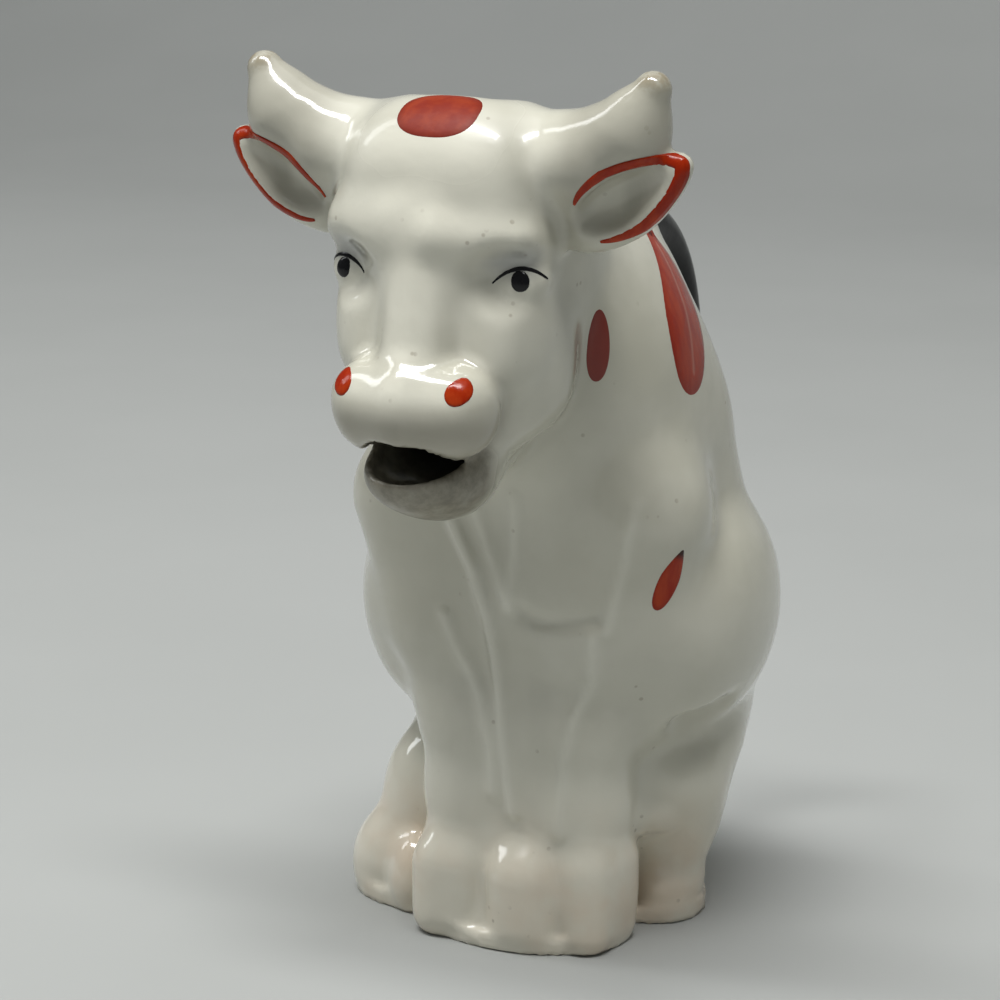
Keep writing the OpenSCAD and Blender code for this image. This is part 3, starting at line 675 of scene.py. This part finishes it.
def below(x, low, high):
    """1 below low, 0 above high, smooth between."""
    t = np.clip((high - x) / (high - low), 0, 1)
    return t * t * (3 - 2 * t)


COW_BOX = (-34.0, -61.0, -1.0), (34.0, 27.0, 129.0)
COW_STEP = 0.7
COW_ROUNDS = 3
HOLLOW_REACH = 2.2
EYE_MID = np.array((11.8, -48.0, 101.4))
EYE_HALF = np.array((1.5, 1.3, 0.9))


def glazed_body(glaze):
    low, high = COW_BOX
    points, faces = surface_nets(sample(cow, low, high, COW_STEP), low, COW_STEP)
    points = settle(cow, points, COW_ROUNDS)
    obj = mesh_object("glazed_cow", points, faces, GLAZED)
    for name, values in glaze_and_light_masks(points, unit_slope(cow, points)).items():
        put_attribute(obj, name, values)
    obj.data.materials.append(glaze)


def glaze_and_light_masks(points, normal):
    """Where the glaze pools, blushes, wears and stains, and where light and shade are painted on
    it, as attributes from 0 to 1.
    """
    m = folded(points)
    x, y, z = m.T
    hollow = np.clip((HOLLOW_REACH - cow(points + normal * HOLLOW_REACH)) / HOLLOW_REACH, 0, 1)
    face = below(y, -46, -40) * below(np.abs(z - 101), 15, 20) * below(normal[:, 1], -0.93, -0.6)
    eye = np.linalg.norm((m - EYE_MID) / EYE_HALF, axis=1)
    throat = np.abs(mouth(points))
    lip = below(np.abs(jaw(points)), 0.4, 1.6) * below(y, -49.0, -44.0) * 0.9
    under_lip = below(z, 76.6, 78.2) * (y < -36)
    near_skin = below(outer(points), -1.4, -0.4) * below(throat, 0.4, 1.0)
    # painted light and shade among these: shade in hollows, light on the forward face, highlights
    # on the fold crests, shade on each horn, under the muzzle and far inside the throat
    return {
        "pool_and_shade": np.clip(hollow * 1.1 - 0.08, 0, 1) * 0.7,
        "foot": below(z, 8, 26) * np.clip(0.55 + x / 30, 0, 1),
        "crest_highlight": folds(points, crests=True) * 0.75,
        "lit_face_and_pale_base": np.maximum(face * 0.62, below(z, 10, 40) * 0.8),
        "soft": below(x, 4, 17) * below(-z, -117, -104) * below(y, -44, -32),
        "horns": below(np.abs(horn(m)), 0.4, 2.0) * below(-x, -19, -14),
        "tips": below(-z, -125.0, -122.0) * below(-x, -27, -24),
        "wash": below(eye, 0.6, 3.9) * 0.62,
        "stain": np.maximum(below(throat, 0.5, 1.6), lip) * under_lip,
        "deep": below(-y, 41.0, 52.0) * near_skin * 0.97,
        "shade": below(np.abs(muzzle(m)), 0.5, 2.5) * below(z, 80.5, 85.5) * 0.7,
    }


TAIL_R = 3.5
TAIL_HEART = (8, 65.5)
TAIL_REACH = 29.5
TAIL_RISE = 31.5
TAIL_SQUARE = 0.75
TAIL_STOPS = 44
TAIL_ROOT = 1.6  # how far the roots may flare past the rope
TAIL_SINK = 0.6
TAIL_BOX = (-7.0, 4.0, 26.0), (7.0, 43.0, 107.0)
TAIL_STEP = 0.55


def tail_line():
    """The spine of the loop, a square-shouldered arc from the rump to the back."""
    t = np.radians(np.linspace(-86, 86, TAIL_STOPS))
    y = TAIL_HEART[0] + TAIL_REACH * np.cos(t) ** TAIL_SQUARE
    z = TAIL_HEART[1] + TAIL_RISE * np.sign(t) * np.abs(np.sin(t)) ** TAIL_SQUARE
    return np.stack([y, z], -1)


def black_tail(glaze):
    """The tail as a loop handle, its roots flared on to the back."""
    line = tail_line()

    def tube(p, r):
        d = None
        for (ya, za), (yb, zb) in zip(line[:-1], line[1:]):
            e = limb(p, (0, ya, za), (0, yb, zb), r, r)
            d = e if d is None else np.minimum(d, e)
        return d

    def field(p):
        skin = outer(p)
        rope = join(tube(p, TAIL_R), skin - 0.2, 4.0)
        return np.maximum(np.maximum(rope, -skin - TAIL_SINK), tube(p, TAIL_R + TAIL_ROOT))

    low, high = TAIL_BOX
    points, faces = surface_nets(sample(field, low, high, TAIL_STEP), low, TAIL_STEP)
    points = settle(field, points, 2)
    obj = mesh_object("black_tail", points, faces, ["tail_handle"])
    put_attribute(obj, "edge", below(outer(points), 0.1, 0.8) * 0.5)
    obj.data.materials.append(glaze)


# a point travels PRESS_DEEP mm at most, in stops, and the last stop is then halved
PRESS_DEEP = 14.0
PRESS_STOPS = 57
PRESS_HALVINGS = 14


def press(points, way, lift):
    """Carries points along a way until they lie `lift` above the cow's skin."""
    way = np.array(way, float) / np.linalg.norm(way)
    points = np.array(points, float)
    near = np.zeros(len(points))
    travel = np.full(len(points), PRESS_DEEP)
    ts = np.linspace(0, PRESS_DEEP, PRESS_STOPS)
    found = np.zeros(len(points), bool)
    last = outer(points)
    for a, b in zip(ts[:-1], ts[1:]):
        here = outer(points + way * b)
        hit = (~found) & (here < 0) & (last >= 0)
        near[hit], travel[hit] = a, b
        found |= hit
        last = here
    for _ in range(PRESS_HALVINGS):
        mid = (near + travel) / 2
        inside = outer(points + way * mid[:, None]) < 0
        travel = np.where(inside, mid, travel)
        near = np.where(inside, near, mid)
    landed = points + way * near[:, None]
    return landed + unit_slope(outer, landed) * np.asarray(lift)[:, None]


ENAMEL = 0.12
ENAMEL_EDGE = -0.03
ENAMEL_UNDER = -0.25
SHEET_SIDES = 72
SHEET_EASE = 1.6  # crowds a sheet's rings towards its edge


def enamel_sheet(
    name, nodes, start, way, side, up, outline, material, rows, marks=None, dull=0.0, soft=0.0
):
    """A domed sheet of enamel. outline(t) gives the mark's edge in mm, t from 0 to 1."""
    side, up, start = (np.array(v, float) for v in (side, up, start))
    way = np.array(way, float) / np.linalg.norm(way)
    n = SHEET_SIDES
    edge = np.array([outline(j / n) for j in range(n)])
    centre = edge.mean(0)
    shares = 1 - (1 - np.arange(rows + 1) / rows) ** SHEET_EASE
    flat = [centre]
    for s in shares[1:]:
        flat.extend(centre + (edge - centre) * s)
    flat = np.array(flat)
    share = np.concatenate([[0], np.repeat(shares[1:], n)])
    lift = ENAMEL * np.clip((1 - share) * 5, 0, 1) ** 0.5 + ENAMEL_EDGE
    spots = start + flat[:, :1] * side + flat[:, 1:] * up
    top = press(spots, way, lift)
    ring = [1 + (rows - 1) * n + j for j in range(n)]
    under = press(spots[ring], way, np.full(n, ENAMEL_UNDER))
    heart = press(spots[:1], way, np.array([ENAMEL_UNDER]))
    points = np.concatenate([top, under, heart])
    base, last = len(top), len(top) + n
    faces = [(0, 1 + j, 1 + (j + 1) % n) for j in range(n)]
    for i in range(rows - 1):
        a, b = 1 + i * n, 1 + (i + 1) * n
        faces += [(a + j, b + j, b + (j + 1) % n, a + (j + 1) % n) for j in range(n)]
    faces += [(ring[j], base + j, base + (j + 1) % n, ring[(j + 1) % n]) for j in range(n)]
    faces += [(base + j, last, base + (j + 1) % n) for j in range(n)]
    obj = mesh_object(name, points, faces, nodes)
    fix_normals(obj)
    full = np.concatenate([share, np.ones(n + 1)])
    put_attribute(obj, "edge", np.clip((full - 0.80) / 0.2, 0, 1) * 0.8)
    for key in ("rib_highlight", "dark"):
        value = np.zeros(len(points))
        if marks and key in marks:
            value[:len(flat)] = marks[key](flat)
        put_attribute(obj, key, value)
    put_attribute(obj, "dull", np.full(len(points), dull))
    put_attribute(obj, "soft", np.full(len(points), soft))
    obj.data.materials.append(material)


def fix_normals(obj):
    bm = bmesh.new()
    bm.from_mesh(obj.data)
    bmesh.ops.recalc_face_normals(bm, faces=bm.faces)
    bm.to_mesh(obj.data)
    bm.free()


EAR_RIM = 0.98


def on_the_ear(flat):
    """Draws points in, until they lie within the rim of the ear."""
    long = math.dist(EAR_ROOT, EAR_TIP)
    broad = EAR_BROAD * ear_narrowing(flat[:, 0], long)
    out = np.hypot(flat[:, 0] / (long * EAR_HALF), flat[:, 1] / broad)
    return flat * (EAR_RIM / np.maximum(out, EAR_RIM))[:, None]


def enamel_line(
    name, nodes, start, way, side, up, path, width, material, n, lift=ENAMEL, keep=None
):
    """A brushed line. path(t) runs along it in mm, width(t) is its breadth."""
    side, up, start = (np.array(v, float) for v in (side, up, start))
    ts = np.linspace(0, 1, n)
    mid = np.array([path(t) for t in ts])
    d = np.gradient(mid, axis=0)
    d /= np.linalg.norm(d, axis=1)[:, None] + 1e-9
    across = np.stack([-d[:, 1], d[:, 0]], -1)
    half = np.array([width(t) for t in ts])[:, None] / 2
    offsets = np.array([-1, -0.7, -0.25, 0.25, 0.7, 1])
    heights = np.array([0, 0.7, 1.0, 1.0, 0.7, 0]) * lift
    heights[[0, -1]] = ENAMEL_EDGE
    rows = [mid + across * half * o for o in offsets]
    flat = np.concatenate(rows)
    if keep:
        flat = keep(flat)
    spots = start + flat[:, :1] * side + flat[:, 1:] * up
    top = press(spots, way, np.repeat(heights, n))
    low = press(np.concatenate([spots[:n], spots[-n:]]), way, np.full(2 * n, ENAMEL_UNDER))
    points = np.concatenate([top, low])
    k = len(offsets)
    loop = list(range(k)) + [k + 1, k]
    faces = []
    for a, b in zip(loop, loop[1:] + loop[:1]):
        faces += [(a * n + i, a * n + i + 1, b * n + i + 1, b * n + i) for i in range(n - 1)]
    faces.append([r * n for r in loop])
    faces.append([r * n + n - 1 for r in loop][::-1])
    obj = mesh_object(name, points, faces, nodes)
    fix_normals(obj)
    for key in ("edge", "rib_highlight", "dull", "dark", "soft"):
        put_attribute(obj, key, np.zeros(len(points)))
    obj.data.materials.append(material)


def oval(half_w, half_h, power=1.0, point=0.0):
    """An oval outline, pointed towards its top by `point`."""

    def outline(t):
        a = 2 * math.pi * t
        c, s = math.cos(a), math.sin(a)
        w = 1 - point * max(s, 0) ** 1.4
        return (
            half_w * math.copysign(abs(c) ** power, c) * w,
            half_h * math.copysign(abs(s) ** power, s),
        )

    return outline


def facing(sign, degrees):
    """The way inwards and the way sideways, on a face turned out from the front."""
    c, s = cos_sin(degrees)
    return (-s * sign, c), (c, s * sign)


STAND_OFF = 8


def paint_eye(sign, name, black):
    (wx, wy), (sx, sy) = facing(sign, 32)
    way, side, up = (wx, wy, 0), (sx, sy, 0), (0, 0, 1)
    start = np.array((12.0 * sign - wx * STAND_OFF, -47.0 - wy * STAND_OFF, 98.9))
    enamel_sheet(
        name + "_pupil", [name + "_eye"], start, way, side, up,
        oval(1.15, 1.35, 0.9), black, rows=5,
    )

    def lid(t):
        u = (t - 0.5) * 2
        return (sign * (u * 3.5 + 0.1), 1.6 - 1.7 * u * u + 0.25 * u)

    enamel_line(
        name + "_lid", [name + "_eye"], start, way, side, up,
        lid, lambda t: 0.24 + 0.36 * math.sin(math.pi * t), black, n=60, lift=0.08,
    )


def paint_nostril(sign, name, red):
    (wx, wy), (sx, sy) = facing(sign, 30)
    start = np.array((8.0 * sign - wx * STAND_OFF, -56.4 - wy * STAND_OFF, 85.0))
    c, s = cos_sin(24)
    side, up = (sx * c, sy * c, sign * s), (-sx * s * sign, -sy * sign * s, c)
    enamel_sheet(
        name + "_nostril_mark", [name + "_nostril"], start, (wx, wy, 0.12), side,
        up, oval(1.95, 1.35, 0.9), red, rows=6,
    )


def paint_ear(sign, name, red):
    root, tip = np.array(EAR_ROOT), np.array(EAR_TIP)
    d = (tip - root) / np.linalg.norm(tip - root)
    middle = (root + tip) / 2
    start = (middle[0] * sign, -49.0, middle[1])
    side, up = (d[0] * sign, 0, d[1]), (-d[1] * sign, 0, d[0])
    first, last = (-138, 134) if sign > 0 else (-152, 150)

    def leaf_edge(t):
        c, s = cos_sin(first + (last - first) * t)
        return (1.0 + 8.3 * c, 4.0 * s * (1.0 - EAR_TAPER * max(c, 0)))

    enamel_line(
        name + "_ear_mark", [name + "_ear_line"], start, (0, 1, 0), side, up,
        leaf_edge, lambda t: 0.35 + 1.5 * math.sin(math.pi * t) ** 0.7, red,
        n=110, keep=on_the_ear,
    )


def paint_left_side(red):
    """The three marks on the cow's left: on its neck, its shoulder and its flank."""
    c, s = cos_sin(62)
    start = np.array((12.6, -28.0, 87.6)) + 12 * np.array((s, -c, 0))
    enamel_sheet(
        "neck_mark", ["neck_spot"], start, (-s, c, 0), (c, s, 0), (0.05, 0, 1),
        oval(1.9, 4.9, 0.95), red, rows=10, dull=0.8,
    )
    c, s = cos_sin(17)
    # the shoulder leaf has a painted highlight down its midrib
    enamel_sheet(
        "shoulder_mark", ["shoulder_leaf"], (30.0, -10.2, 91.2), (-1, 0.05, -0.15),
        (0, 1, 0), (-s, 0.24, c), oval(6.7, 11.8, 0.95, 0.7), red, rows=16, dull=0.25,
        marks={"rib_highlight": lambda f: np.exp(-(f[:, 0] / 0.35) ** 2) * (np.abs(f[:, 1]) < 9) * 0.45},
    )
    c, s = cos_sin(45)
    start = np.array((20.3, -19.8, 54.9)) + 9 * np.array((s, -c, 0))
    side, up = np.array((c, s, 0)), np.array((0, 0, 1))
    lean, rise = cos_sin(-22)
    enamel_sheet(
        "flank_mark", ["flank_spot"], start, (-s, c, 0),
        side * lean + up * rise, up * lean - side * rise,
        oval(1.75, 4.6, 0.95, 0.55), red, rows=10,
        marks={"dark": lambda f: np.clip((f[:, 1] - 2.9) / 1.0, 0, 1)},
    )


def painted_marks(red, black):
    enamel_sheet(
        "poll_mark", ["poll_spot"], (0.6, -53.0, 123.0), (0, 0.80, -0.45),
        (1, 0, 0), (0, 0.45, 0.80), oval(5.5, 4.3, 0.82), red, rows=14, soft=1.0,
        marks={"dark": lambda f: np.full(len(f), 0.35)},
    )
    for sign, name in ((1, "left"), (-1, "right")):
        paint_eye(sign, name, black)
        paint_nostril(sign, name, red)
        paint_ear(sign, name, red)
    paint_left_side(red)


# ---------------------------------------------------------------------- stage
def add_floor():
    """A floor that curves up into a backdrop."""
    width, front, back, height, bend = 7.0, -4.0, 1.1, 1.6, 0.5
    profile = [(front, 0.0), (back - bend, 0.0)]
    for i in range(1, 17):
        a = math.pi / 2 * i / 16
        profile.append((back - bend + bend * math.sin(a), bend - bend * math.cos(a)))
    profile.append((back, height))
    points = [(x, y, z) for y, z in profile for x in (-width / 2, width / 2)]
    faces = [(2 * i, 2 * i + 1, 2 * i + 3, 2 * i + 2) for i in range(len(profile) - 1)]
    mesh = bpy.data.meshes.new("floor")
    mesh.from_pydata(points, [], faces)
    mesh.polygons.foreach_set("use_smooth", [True] * len(mesh.polygons))
    obj = bpy.data.objects.new("floor", mesh)
    scene.collection.objects.link(obj)
    obj.data.materials.append(plain_floor())


def add_lamp(name, place, aim, size, power, colour=(1, 1, 1)):
    data = bpy.data.lights.new(name, "AREA")
    data.shape = "RECTANGLE"
    data.size, data.size_y = size
    data.energy = power
    data.color = colour
    obj = bpy.data.objects.new(name, data)
    obj.location = place
    obj.rotation_euler = (Vector(aim) - Vector(place)).to_track_quat("-Z", "Y").to_euler()
    scene.collection.objects.link(obj)


def light_room():
    """A long tube over the front, soft light from above and from one side."""
    world = bpy.data.worlds.new("soft_room")
    scene.world = world
    world.use_nodes = True
    background = world.node_tree.nodes["Background"]
    background.inputs["Color"].default_value = (0.93, 0.97, 1.0, 1)
    background.inputs["Strength"].default_value = 0.16
    cow_heart = (0, -0.01, 0.07)
    add_lamp("tube", (0.0, -0.24, 1.0), cow_heart, (0.8, 0.16), 11.0)
    add_lamp("ceiling", (0.0, 0.0, 1.4), cow_heart, (1.4, 1.4), 4.0)
    add_lamp("window_left", (-0.85, -0.1, 0.75), cow_heart, (0.2, 0.6), 1.9, (0.97, 0.99, 1.0))
    scene.view_settings.view_transform = "Standard"


add_camera()
glazed_body(cream_glaze())
black_tail(black_glaze())
painted_marks(red_enamel(), black_enamel())
add_floor()
light_room()
